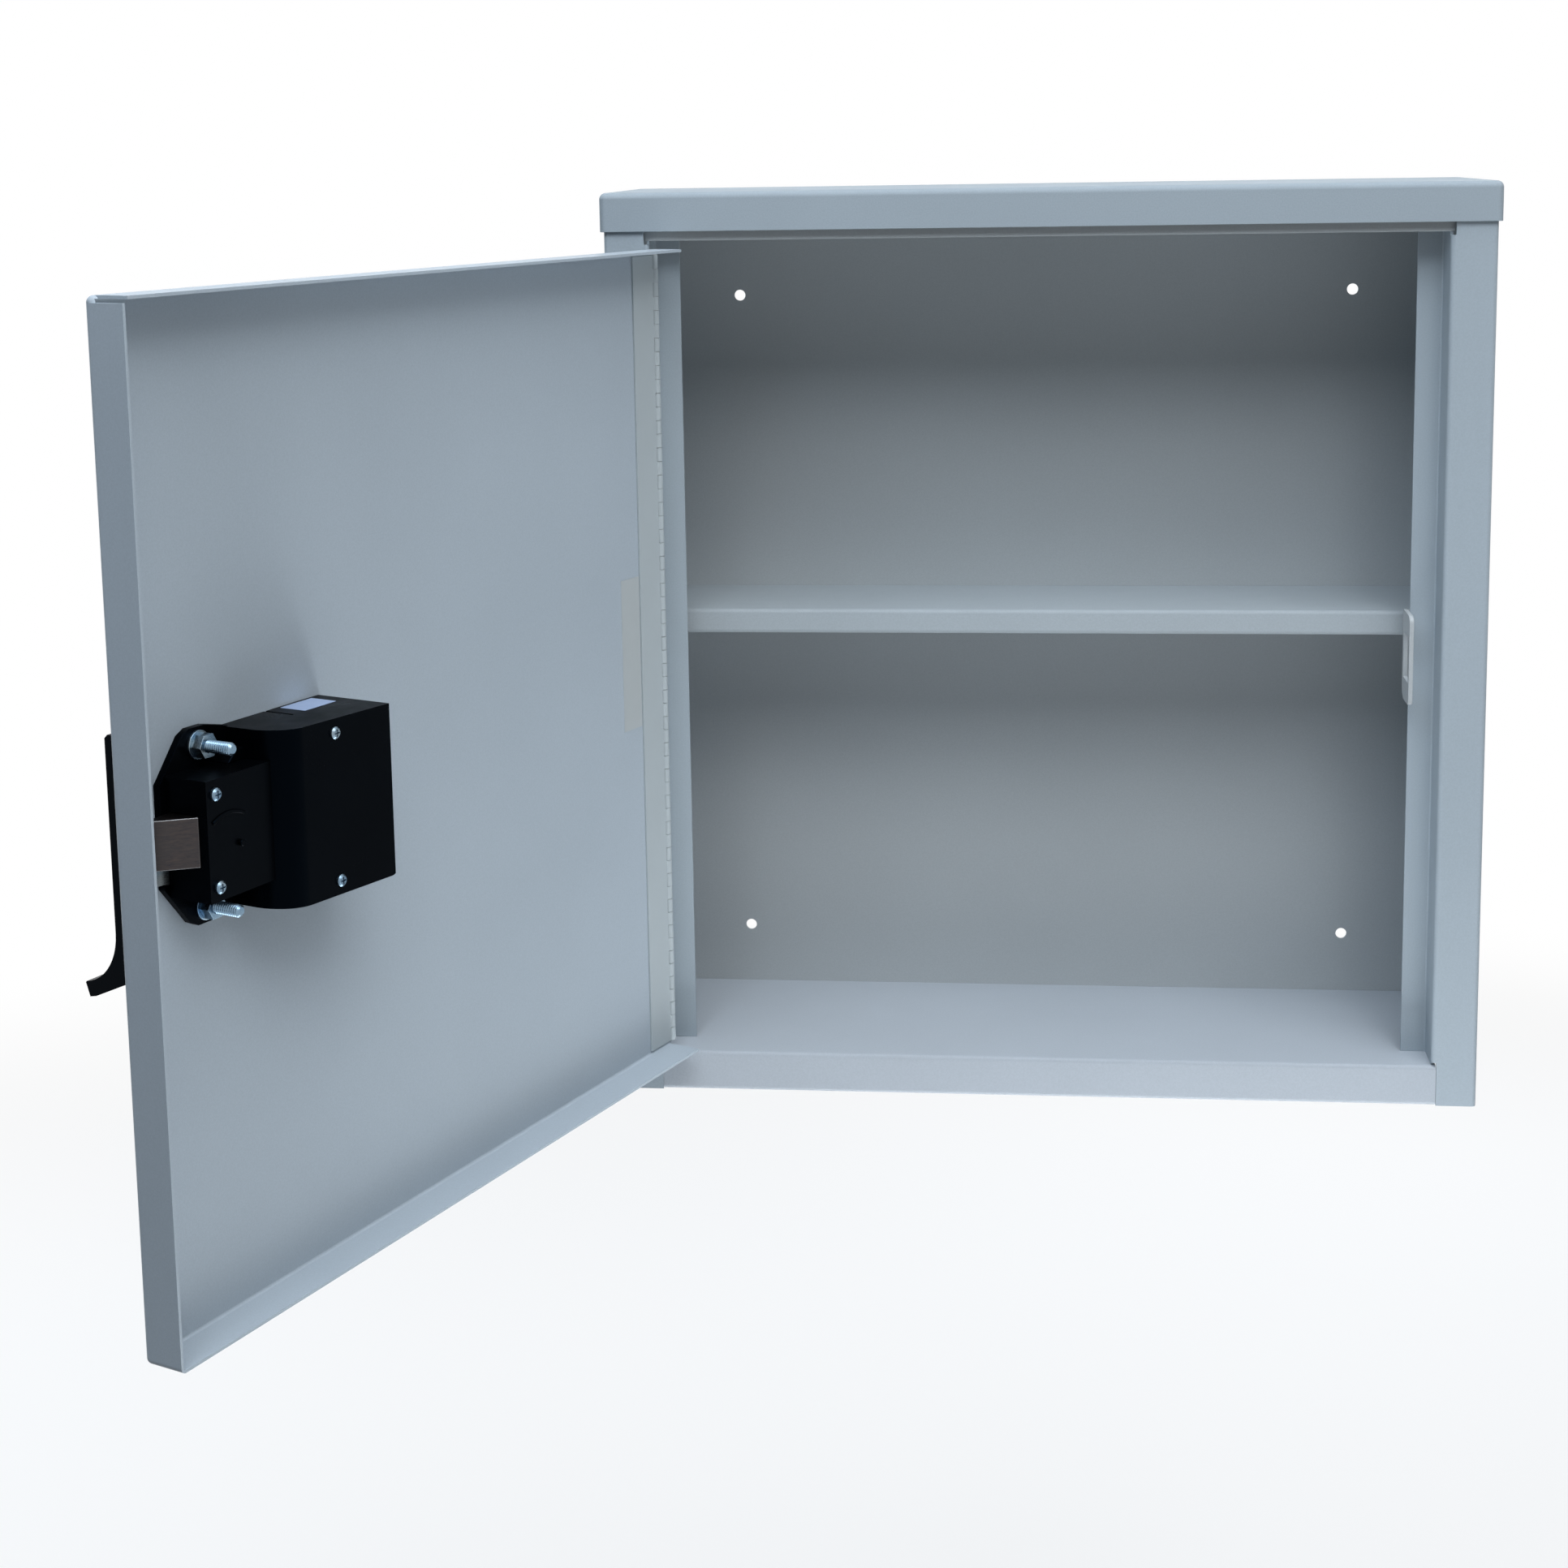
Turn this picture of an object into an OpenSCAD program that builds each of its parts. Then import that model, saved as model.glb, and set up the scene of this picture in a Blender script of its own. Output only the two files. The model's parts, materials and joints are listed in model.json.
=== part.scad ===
/* [Cabinet body] */
// width across the two side panels
body_w = 406.4; // [380:0.2:460]
// height from the bottom edge to the top of the cap
body_h = 434; // [425:1:480]
// depth from the wall face to the front stiles
body_d = 107; // [100:0.5:140]
// thickness of the folded steel sheet
sheet_t = 1.2; // [1:0.1:1.4]
// centre-line radius of a fold
fold_r = 1.5; // [1.2:0.1:2]
// face width of each front stile
stile_w = 21; // [19:0.5:26]
// depth of the return wall beside the door
return_d = 19.7; // [19.4:0.1:22]
// width of the stop flange behind the door edge
stop_w = 11.6; // [9:0.1:13]
// height of the bottom rail, level with the floor
rail_h = 19.4; // [17:0.1:22]
// height of the header's lower edge below the top of the cap
header_drop = 22.4; // [21:0.1:26]
// set-back of the header's face behind the stiles
header_in = 2.6; // [0:0.2:4]
// depth of the flanges folded back under the rail and the shelf
fold_back = 12; // [8:1:20]
// gap where two flat pieces meet edge to edge
slip = 0.1; // [0.05:0.05:0.2]
// width of the relief notch in each corner of the opening
relief_w = 2.2; // [2:0.1:4]
// height of the relief notch in each corner of the opening
relief_h = 1.6; // [0.8:0.1:2.4]

/* [Cap] */
// height of the cap's lip
cap_lip = 18; // [14:0.5:24]
// distance the cap stands out past the body
cap_over = 1.7; // [1.6:0.1:3]
// outer edge radius of the cap
cap_r = 3; // [2:0.1:4]

/* [Shelf] */
// height of the shelf's top face above the bottom edge
shelf_z = 231; // [228:1:260]
// set-back of the shelf's front edge from the stiles
shelf_set = 38.1; // [37.6:0.1:50]
// height of the shelf's front lip
shelf_lip = 11.8; // [8:0.1:16]
// side clearance between the shelf and each side panel
shelf_gap = 0.2; // [0.1:0.1:1]
// leg of the shelf's support angles
support_leg = 14; // [10:1:20]

/* [Wall holes] */
// spacing of the wall holes across the cabinet
wall_dx = 304.8; // [280:0.2:330]
// spacing of the wall holes up the cabinet
wall_dz = 330.2; // [300:0.2:350]
// height of the middle of the hole pattern above the bottom edge
wall_z = 214.8; // [205:0.1:225]
// diameter of a wall hole
wall_hole_d = 5.5; // [4:0.1:8]

/* [Door] */
// gap between the door's free edge and the return wall
door_gap_free = 1.25; // [0.8:0.05:2.5]
// gap between the door's flange edges and the stop flange
door_seat = 1.8; // [1.2:0.1:3]
// gap between the rail and the door's lower edge
door_gap_low = 3; // [1.5:0.1:4]
// gap between the header and the door's upper edge
door_gap_top = 3.6; // [1.5:0.1:5]
// outer edge radius of the door panel
door_r = 2.5; // [1.6:0.1:3]
// opening angle at rest
open_deg = 113.4; // [90:0.1:118]

/* [Hinge] */
// distance from each end of the hinge to the door's edge
hinge_end = 2.6; // [2.6:0.1:30]
// number of knuckles
knuckles = 59; // [21:2:61]
// radius of the knuckles
knuckle_r = 1.95; // [1.9:0.01:1.97]
// radius of the hinge pin
pin_r = 1; // [0.8:0.05:1.05]
// radial clearance of the pin in the door's knuckles
pin_gap = 0.05; // [0.02:0.01:0.1]
// thickness of a hinge leaf
leaf_t = 0.9; // [0.7:0.05:0.95]
// distance from the pin to the door panel's edge
pin_edge = 2.4; // [2.3:0.05:3]
// width of the leaf from the door panel's edge
leaf_w = 17; // [12:0.5:24]
// end gap between two knuckles
knuckle_gap = 0.2; // [0.1:0.05:0.4]

/* [Inside lock] */
// height of the lock's middle above the body's bottom edge
lock_z = 213.9; // [205:0.1:216]
// distance of the studs from the door's free edge
stud_in = 39.4; // [38:0.1:42]
// half spacing of the two studs
stud_half = 30; // [28:0.1:31]
// height of the battery housing
case_h = 67.2; // [62:0.1:70]
// distance from the studs to the battery housing's far wall
case_reach = 72.3; // [68:0.1:74]
// width of the battery housing
case_w = 57.5; // [50:0.1:58]
// depth of the battery housing at its hinge end, from the door's outer face
case_d = 35.6; // [34:0.1:36.4]
// depth of the battery housing where its corner starts to fall away
case_d2 = 31.8; // [30:0.1:33]
// radius of the case's lower corner on the hinge side
case_low_r = 3; // [1:0.1:3.4]
// radius of the case's upper corner on the hinge side
case_top_r = 1.4; // [0.6:0.1:3]
// height of the latch nose
nose_h = 44.6; // [43:0.1:46]
// depth of the latch nose from the door's outer face
nose_d = 23.5; // [23:0.1:25]
// distance of the nose's end wall from the studs
nose_end = 17.7; // [16:0.1:18]
// width of the housing's rounded corner beside the nose
corner_w = 12.5; // [8:0.1:14]
// depth of the housing's rounded corner beside the nose
corner_d = 17; // [10:0.1:18]
// wall thickness of the lock housing
case_t = 2; // [1.6:0.1:2.4]
// thickness of the lock's base plate
base_t = 3; // [2:0.1:3.4]
// distance from a stud to the end of the base plate's ear
ear_reach = 6.6; // [6:0.1:8]
// distance of the housing screws from the housing's far wall
case_screw_side = 30.5; // [26:0.5:34]
// distance of the housing screws from its upper and lower walls
case_screw_in = 5.4; // [5:0.1:8]
// distance of the nose screws from the nose's end wall
nose_screw_side = 4.4; // [4:0.1:5]
// distance of the nose screws from the nose's upper and lower walls
nose_screw_in = 5.3; // [4.6:0.1:5.6]
// wall of a screw boss around its shank
boss_t = 1.6; // [1.2:0.1:1.8]

/* [Latch] */
// height of the latch bolt
bolt_h = 18.3; // [14:0.1:19]
// thickness of the latch bolt
bolt_t = 14; // [12:0.1:14.5]
// distance of the bolt's flat side from the door's outer face
bolt_v = 5.6; // [5.4:0.1:6]
// travel of the bolt
bolt_travel = 6.5; // [6:0.1:8]
// guide clearance of the bolt on each side
bolt_gap = 0.2; // [0.1:0.05:0.4]
// height of the small plunger
plunger_h = 5.7; // [4:0.1:6]
// thickness of the small plunger
plunger_t = 2.5; // [2:0.1:2.8]
// distance of the plunger below the middle of the bolt
plunger_drop = 14.6; // [13.5:0.1:16]

/* [Strike] */
// height of the strike tab
strike_h = 42; // [40:0.5:50]
// thickness of the strike tab
strike_t = 2; // [1.6:0.1:2.4]
// set-back of the strike's front edge from the stiles
strike_set = 2.6; // [2.2:0.1:3]
// width of the strip that holds the bolt
strike_strip = 2.5; // [2:0.1:2.7]
// gap between the strike tab and the edge of the stop flange
strike_gap = 0.6; // [0.4:0.1:1]
// play of the bolt in the window, above and below
strike_play = 1.5; // [0.8:0.1:3]

/* [Pull and keypad] */
// width of the pull housing
pull_w = 42.6; // [42:0.1:50]
// height of the pull housing
pull_h = 100; // [96:0.5:110]
// thickness of the pull housing over the door
pull_d = 20; // [19:0.1:24]
// distance the flared grip stands out from the door
grip_d = 36.2; // [34:0.1:42]
// height at which the grip starts to flare
flare_z = 26; // [24:0.1:28]
// height of the grip's underside at the door
heel_z = 14; // [13:0.1:14.5]
// radius of the finger scoop behind the grip
scoop_r = 7.5; // [6:0.1:8]
// height of the pull housing's top above the lock's middle
pull_rise = 35.9; // [35:0.1:38]
// thickness of the gasket under the pull housing
gasket_t = 0.8; // [0.5:0.1:1.2]
// pitch of the buttons across
key_pitch_u = 10.8; // [10.6:0.1:11]
// pitch of the buttons up
key_pitch_z = 11; // [10.8:0.1:11.4]
// width of a button
key_w = 8.4; // [8:0.1:8.8]
// height of a button
key_h = 8.6; // [8:0.1:9]
// height of a button above the keypad
key_rise = 1.4; // [1:0.1:1.8]
// clearance around a button
key_gap = 0.25; // [0.15:0.05:0.35]
// travel of a button
key_travel = 0.8; // [0.4:0.1:1.2]
// thickness of the keypad plate
pad_t = 1.6; // [1.2:0.1:2]
// radius of a lamp window
lamp_r = 1.5; // [1:0.1:2]
// distance of the lamp windows below the housing's top
lamp_drop = 6; // [4.5:0.1:7]
// radius of the cable hole between the keypad and the lock
cable_r = 6; // [4:0.1:7]

/* [Fasteners] */
// radius of a mounting stud
stud_r = 2.4; // [2:0.1:2.5]
// stud length beyond the door's outer face
stud_len = 21.3; // [16:0.1:23]
// width of a nut across its flats
nut_af = 8.4; // [8:0.1:9]
// height of a nut
nut_h = 4.6; // [3.5:0.1:5]
// radius of a washer
washer_r = 5.4; // [5:0.1:5.6]
// thickness of a washer
washer_t = 1.1; // [0.8:0.1:1.4]
// head radius of a cover screw
screw_head_r = 2.4; // [2:0.1:2.6]
// head height of a cover screw
screw_head_h = 1.7; // [1.2:0.1:2]
// shank radius of a cover screw
screw_r = 1.2; // [1:0.1:1.3]
// shank length of a cover screw
screw_len = 9; // [6:0.5:12]

/* [Hidden] */
$fn = 96;
far = 1000;
arc_step = 7.5;
over = 1;
half_w = body_w / 2;
open_half = half_w - stile_w;
seam = open_half + relief_w;
stop_half = open_half - stop_w;
cap_z = body_h - sheet_t;
cap_fold = cap_r - sheet_t;
cap_play = cap_over - sheet_t;
cap_reach = sqrt(pow(cap_fold, 2) - pow(max(0, cap_fold - cap_play), 2));
side_top = cap_z - cap_fold + cap_reach - slip;
header_z = body_h - header_drop;
door_z0 = rail_h + door_gap_low;
door_z1 = header_z - door_gap_top;
door_d = return_d - door_seat;
pin_x = -open_half + knuckle_r + slip;
pin_y = sheet_t;
door_w = open_half - door_gap_free - pin_x - pin_edge;
hinge_z0 = door_z0 + hinge_end;
hinge_len = door_z1 - hinge_end - hinge_z0;
knuckle_p = hinge_len / knuckles;
knuckle_h = knuckle_p - knuckle_gap;
leaf_clear = 0.3;
leaf_y = knuckle_r + leaf_clear;
steel = [0.62, 0.67, 0.71];
inner_steel = [0.7, 0.73, 0.75];
black = [0.03, 0.03, 0.035];
zinc = [0.72, 0.76, 0.8];
dark_metal = [0.3, 0.28, 0.28];

base_v = sheet_t + base_t;
stud_u = door_w - stud_in;
case_u0 = stud_u - case_reach;
case_u1 = case_u0 + case_w;
nose_u = stud_u + nose_end;
bolt_len = 30;
bolt_u0 = nose_u - bolt_len;
bolt_land = 0.4;
bolt_tip = nose_u + bolt_t;
plunger_z = lock_z - plunger_drop;
plunger_v = base_v - slip - plunger_t;
plunger_tip = 4.2;
plunger_heel = 9;
plunger_room = 5;
seat_depth = 0.4;
screw_u = case_u0 + case_screw_side;
face_v = case_d - (case_d - case_d2) * (screw_u - case_u0) / (case_w - corner_w);
case_screw_half = case_h / 2 - case_screw_in;
nose_screw_u = nose_u - nose_screw_side;
nose_screw_half = nose_h / 2 - nose_screw_in;
boss_r = screw_r + boss_t;
strike_x = stop_half - strike_gap - strike_t;

pull_u0 = stud_u - pull_w / 2;
pull_z1 = lock_z + pull_rise;
pull_z0 = pull_z1 - pull_h;
key_cols = 3;
key_rows = 4;
key_drop = 0.4;
key_mid_z = lock_z - key_drop;
pad_rim = 1;
pad_end = 0.8;
pad_w = key_cols * key_pitch_u + 2 * pad_rim;
pad_h = key_rows * key_pitch_z + 2 * pad_end;
pad_z0 = key_mid_z - pad_h / 2;
key_flange = 0.6;
key_flange_t = 0.9;
key_back = -pull_d + pad_t + slip;
board_t = 1.6;
housing_t = 3;
stud_sink = pull_d / 2;
lamp_half = 4;
lamp_z = pull_z1 - lamp_drop;
lamp_t = 1.4;
plate_gap = 0.2;
label_t = 0.15;
case_edge = 1.2;
pull_edge = 1.4;
tip_z = 5.2;
tip_edge = 1.8;
tip_flat = 3;
tip_lift = 0.6;
flare_lead = 2;
flare_d = grip_d - pull_d + flare_lead;
flare_h = 20.5;

module placed() {
    translate([0, -body_d, -wall_z]) children();
}

module on_door() {
    placed()
        translate([pin_x, pin_y, 0])
            rotate([0, 0, -open_deg])
                translate([pin_edge, -pin_y, 0])
                    children();
}

module ribbon(pts, t, rc) {
    n = len(pts);
    for (i = [0 : n - 2]) {
        a = pts[i];
        b = pts[i + 1];
        d = (b - a) / norm(b - a);
        p = a + d * (i == 0 ? 0 : rc);
        q = b - d * (i == n - 2 ? 0 : rc);
        translate(p)
            rotate(atan2(d[1], d[0]))
                translate([0, -t / 2])
                    square([norm(q - p), t]);
    }
    if (n > 2)
        for (i = [1 : n - 2]) {
            d0 = (pts[i] - pts[i - 1]) / norm(pts[i] - pts[i - 1]);
            d1 = (pts[i + 1] - pts[i]) / norm(pts[i + 1] - pts[i]);
            c = pts[i] + (d1 - d0) * rc;
            s = d0 - d1;
            intersection() {
                translate(c)
                    difference() {
                        circle(r = rc + t / 2);
                        circle(r = rc - t / 2);
                    }
                translate(c + [min(0, s[0]), min(0, s[1])] * (rc + t))
                    square(rc + t);
            }
        }
}

// extrudes a Y-Z profile along X from x0 to x1
module along_x(x0, x1) {
    translate([x0, 0, 0])
        rotate([90, 0, 90])
            linear_extrude(x1 - x0)
                children();
}

module from_z(z0, z1) {
    translate([0, 0, z0])
        linear_extrude(z1 - z0)
            children();
}

module span(p, q) {
    translate(p)
        cube(q - p);
}

// rod along Y from y0 to y1
module rod_y(x, z, r, y0, y1) {
    translate([x, y1, z])
        rotate([90, 0, 0])
            cylinder(r = r, h = y1 - y0);
}

module round_box(p, q, r) {
    s = q - p;
    translate(p) {
        translate([r, r, 0])
            cube([s[0] - 2 * r, s[1] - 2 * r, s[2]]);
        translate([r, 0, r])
            cube([s[0] - 2 * r, s[1], s[2] - 2 * r]);
        translate([0, r, r])
            cube([s[0], s[1] - 2 * r, s[2] - 2 * r]);
        for (x = [r, s[0] - r], y = [r, s[1] - r]) {
            translate([x, y, r])
                cylinder(r = r, h = s[2] - 2 * r);
            for (z = [r, s[2] - r])
                translate([x, y, z])
                    sphere(r = r);
        }
        for (x = [r, s[0] - r], z = [r, s[2] - r])
            translate([x, r, z])
                rotate([-90, 0, 0])
                    cylinder(r = r, h = s[1] - 2 * r);
        for (y = [r, s[1] - r], z = [r, s[2] - r])
            translate([r, y, z])
                rotate([0, 90, 0])
                    cylinder(r = r, h = s[0] - 2 * r);
    }
}

module round_rect(p, q, r) {
    s = q - p;
    translate(p) {
        translate([r, 0])
            square([s[0] - 2 * r, s[1]]);
        translate([0, r])
            square([s[0], s[1] - 2 * r]);
        for (x = [r, s[0] - r], y = [r, s[1] - r])
            translate([x, y])
                circle(r = r);
    }
}

// box with rounded edges along X and Z that meet in a mitre
module mitre_box(p, q, r) {
    intersection() {
        from_z(p[2], q[2])
            round_rect([p[0], p[1]], [q[0], q[1]], r);
        along_x(p[0], q[0])
            round_rect([p[1], p[2]], [q[1], q[2]], r);
    }
}

module side_profile(with_return) {
    wall = half_w - sheet_t / 2;
    front = sheet_t / 2;
    inner = open_half + sheet_t / 2;
    stop = return_d + sheet_t / 2;
    rear = body_d - sheet_t;
    ribbon(with_return
        ? [[wall, rear], [wall, front], [inner, front], [inner, stop], [stop_half, stop]]
        : [[wall, rear], [wall, front], [seam + slip, front]], sheet_t, fold_r);
}

module side_panel() {
    placed() {
        from_z(0, rail_h + slip) side_profile(false);
        difference() {
            from_z(rail_h + slip, header_z - slip) side_profile(true);
            for (z = [rail_h, header_z - relief_h])
                span([open_half - over, -over, z], [seam, sheet_t + fold_r, z + relief_h]);
        }
        from_z(header_z - slip, side_top) side_profile(false);
    }
}

module side_right() {
    color(steel) side_panel();
}

module side_left() {
    color(steel) mirror([1, 0, 0]) side_panel();
}

module back_panel() {
    color(inner_steel)
        placed()
            difference() {
                span([-half_w, body_d - sheet_t, 0], [half_w, body_d, side_top]);
                for (x = [-wall_dx / 2, wall_dx / 2], z = [-wall_dz / 2, wall_dz / 2])
                    rod_y(x, wall_z + z, wall_hole_d / 2, body_d - 2 * sheet_t, body_d + sheet_t);
            }
}

module bottom_panel() {
    wing = half_w - sheet_t - slip;
    top = rail_h - sheet_t / 2;
    color(inner_steel)
        placed() {
            along_x(-seam, seam)
                ribbon([[fold_back, sheet_t / 2], [sheet_t / 2, sheet_t / 2], [sheet_t / 2, top],
                    [return_d, top]], sheet_t, fold_r);
            span([-wing, return_d, rail_h - sheet_t], [wing, body_d - sheet_t, rail_h]);
        }
}

module top_panel() {
    wing = half_w - sheet_t - slip;
    top = cap_z - sheet_t / 2;
    face = header_in + sheet_t / 2;
    color(inner_steel)
        placed() {
            along_x(-seam, seam)
                ribbon([[face, header_z], [face, top], [return_d, top]],
                    sheet_t, fold_r);
            span([-wing, return_d, cap_z - sheet_t], [wing, body_d - sheet_t, cap_z]);
        }
}

module cap() {
    side = half_w + cap_over;
    color(steel)
        placed()
            difference() {
                round_box([-side, -cap_over, body_h - 2 * cap_lip],
                    [side, body_d + 2 * cap_r, body_h], cap_r);
                round_box([-side + sheet_t, -cap_over + sheet_t, body_h - 3 * cap_lip],
                    [side - sheet_t, body_d + 4 * cap_r, body_h - sheet_t], cap_r - sheet_t);
                span([-far, -far, -far], [far, far, body_h - cap_lip]);
                span([-far, body_d, -far], [far, far, far]);
            }
}

module shelf() {
    wing = half_w - sheet_t - shelf_gap;
    low = shelf_z - shelf_lip + sheet_t / 2;
    color(inner_steel)
        placed()
            along_x(-wing, wing)
                ribbon([[shelf_set + fold_back, low], [shelf_set + sheet_t / 2, low],
                    [shelf_set + sheet_t / 2, shelf_z - sheet_t / 2],
                    [body_d - sheet_t, shelf_z - sheet_t / 2]], sheet_t, fold_r);
}

module shelf_supports() {
    wall = half_w - sheet_t;
    top = shelf_z - sheet_t;
    front_gap = 2;
    rear_gap = 4;
    y0 = shelf_set + fold_back + front_gap;
    y1 = body_d - sheet_t - rear_gap;
    color(inner_steel)
        placed()
            for (s = [-1, 1])
                translate([s < 0 ? -wall : wall - support_leg, 0, 0]) {
                    span([0, y0, top - sheet_t], [support_leg, y1, top]);
                    span([s < 0 ? 0 : support_leg - sheet_t, y0, top - support_leg],
                        [s < 0 ? sheet_t : support_leg, y1, top]);
                }
}

module strike() {
    z0 = lock_z - strike_h / 2;
    back = return_d + sheet_t;
    depth = back + strike_t - strike_set;
    corner = 3.5;
    low_corner = 6;
    window_half = bolt_h / 2 + strike_play;
    color(inner_steel)
        placed() {
            difference() {
                along_x(strike_x, strike_x + strike_t)
                    difference() {
                        union() {
                            translate([strike_set, z0 + corner])
                                square([depth, strike_h - 2 * corner]);
                            translate([strike_set + corner, z0])
                                square([depth - corner, strike_h]);
                            for (z = [z0 + corner, z0 + strike_h - corner])
                                translate([strike_set + corner, z])
                                    circle(r = corner);
                        }
                        difference() {
                            translate([back + strike_t - low_corner, z0 - over])
                                square([low_corner + over, low_corner + over]);
                            translate([back + strike_t - low_corner, z0 + low_corner])
                                circle(r = low_corner);
                        }
                    }
                span([strike_x - over, strike_set + strike_strip, lock_z - window_half],
                    [strike_x + strike_t + over, return_d + bolt_land, lock_z + window_half]);
            }
            span([strike_x + slip, back, z0 + low_corner],
                [open_half - fold_r, back + strike_t, z0 + strike_h]);
        }
}

function knuckle_z(i) = hinge_z0 + i * knuckle_p + knuckle_gap / 2;

module hinge_knuckles(first, bore) {
    for (i = [first : 2 : knuckles - 1])
        translate([0, 0, knuckle_z(i)])
            difference() {
                cylinder(r = knuckle_r, h = knuckle_h);
                translate([0, 0, -over])
                    cylinder(r = bore, h = knuckle_h + 2 * over);
            }
}

module hinge_leaf_frame() {
    wall = -knuckle_r - slip;
    leaf_end = 1;
    color(inner_steel)
        placed()
            translate([pin_x, pin_y, 0]) {
                hinge_knuckles(0, pin_r);
                for (i = [0 : 2 : knuckles - 1])
                    span([wall, 0, knuckle_z(i)], [wall + leaf_t, leaf_y, knuckle_z(i) + knuckle_h]);
                span([wall, leaf_y, knuckle_z(0)],
                    [wall + leaf_t, return_d - pin_y - leaf_end, knuckle_z(knuckles) - knuckle_gap]);
            }
}

module hinge_pin() {
    color(zinc)
        placed()
            translate([pin_x, pin_y, hinge_z0])
                cylinder(r = pin_r, h = hinge_len);
}

module hinge_leaf_door() {
    web_clear = 0.25;
    web = pin_r + web_clear;
    color(inner_steel)
        on_door()
            translate([-pin_edge, pin_y, 0]) {
                hinge_knuckles(1, pin_r + pin_gap);
                for (i = [1 : 2 : knuckles - 1])
                    span([web, 0, knuckle_z(i)], [leaf_y, leaf_t, knuckle_z(i) + knuckle_h]);
                span([leaf_y, 0, knuckle_z(0)],
                    [pin_edge + leaf_w, leaf_t, knuckle_z(knuckles) - knuckle_gap]);
            }
}

module door_holes(v0, v1, grow) {
    for (s = [-1, 1])
        rod_y(stud_u, lock_z + s * stud_half, stud_r + grow, v0, v1);
    rod_y(stud_u, lock_z, cable_r, v0, v1);
}

module door_panel() {
    t = sheet_t;
    hole_gap = 0.5;
    color(steel)
        on_door()
            difference() {
                round_box([-4 * door_r, 0, door_z0], [door_w, 3 * door_d, door_z1], door_r);
                mitre_box([-8 * door_r, t, door_z0 + t], [door_w - t, 4 * door_d, door_z1 - t],
                    door_r - t);
                span([-far, -far, -far], [0, far, far]);
                span([-far, door_d, -far], [far, far, far]);
                door_holes(-t, 2 * t, hole_gap);
            }
}

module door_label() {
    half = 35.7;
    rise = 7.3;
    gap = 0.3;
    u0 = leaf_w + gap;
    width = 15.2;
    middle = lock_z + rise;
    color([0.86, 0.88, 0.9])
        on_door()
            span([u0, sheet_t, middle - half], [u0 + width, sheet_t + label_t, middle + half]);
}

function mirrored(p) = [for (i = [len(p) - 1 : -1 : 0]) [p[i][0], -p[i][1]]];

module lock_base() {
    rim = case_h / 2 - case_t - slip;
    ear_top = stud_half + ear_reach;
    ear_flat = 4;
    shoulder = 2;
    ear_out = 2.6;
    ear_in = 3.1;
    ear_u = nose_u + ear_out;
    ear_end = nose_h / 2 - ear_in;
    step_u = case_u1 - case_t;
    upper = [[case_u0 + case_t + slip, rim], [step_u, rim], [step_u, case_h / 2],
        [case_u1 + shoulder, ear_top - shoulder], [stud_u - ear_flat, ear_top],
        [stud_u + ear_flat, ear_top], [stud_u + 2 * ear_flat, ear_top - shoulder],
        [ear_u, ear_end]];
    color(black)
        on_door()
            difference() {
                translate([0, sheet_t, lock_z])
                    rotate([90, 0, 0])
                        mirror([0, 0, 1])
                            linear_extrude(base_t)
                                polygon(concat(upper, mirrored(upper)));
                door_holes(0, base_v + over, plate_gap);
                span([nose_u - plunger_heel - plunger_room, 0, plunger_z - plunger_h / 2 - slip],
                    [ear_u + over, base_v + over, plunger_z + plunger_h / 2 + slip]);
            }
}

// outline of the battery housing across the door, as distance from the hinge edge and depth
function case_outline(m) = concat(
    [[case_u0 + m, 0], [case_u0 + m, case_d - m - case_edge], [case_u0 + m + case_edge, case_d - m]],
    [for (a = [0 : arc_step : 90 - arc_step])
        [case_u1 - m - corner_w * (1 - sin(a)), case_d2 - m - corner_d * (1 - cos(a))]],
    [[case_u1 - m, case_d2 - m - corner_d], [case_u1 - m, 0]]);

module case_solid(m) {
    h = case_h - 2 * m;
    translate([0, 0, lock_z - h / 2])
        linear_extrude(h)
            polygon(case_outline(m));
}

module case_corner(side, r) {
    edge = lock_z + side * case_h / 2;
    rotate([90, 0, 0])
        translate([0, 0, -far])
            linear_extrude(2 * far)
                polygon(concat(
                    [[case_u0 - over, edge + side * over], [case_u0 + r, edge + side * over]],
                    [for (a = [90 : -arc_step : 0])
                        [case_u0 + r * (1 - cos(a)), edge - side * r * (1 - sin(a))]],
                    [[case_u0 - over, edge - side * r]]));
}

module screw_boss(u, half, top_v) {
    for (s = [-1, 1])
        rod_y(u, lock_z + s * half, boss_r, base_v, top_v);
}

module screw_bore(u, half, r, v0) {
    for (s = [-1, 1])
        rod_y(u, lock_z + s * half, r, v0, far);
}

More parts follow.
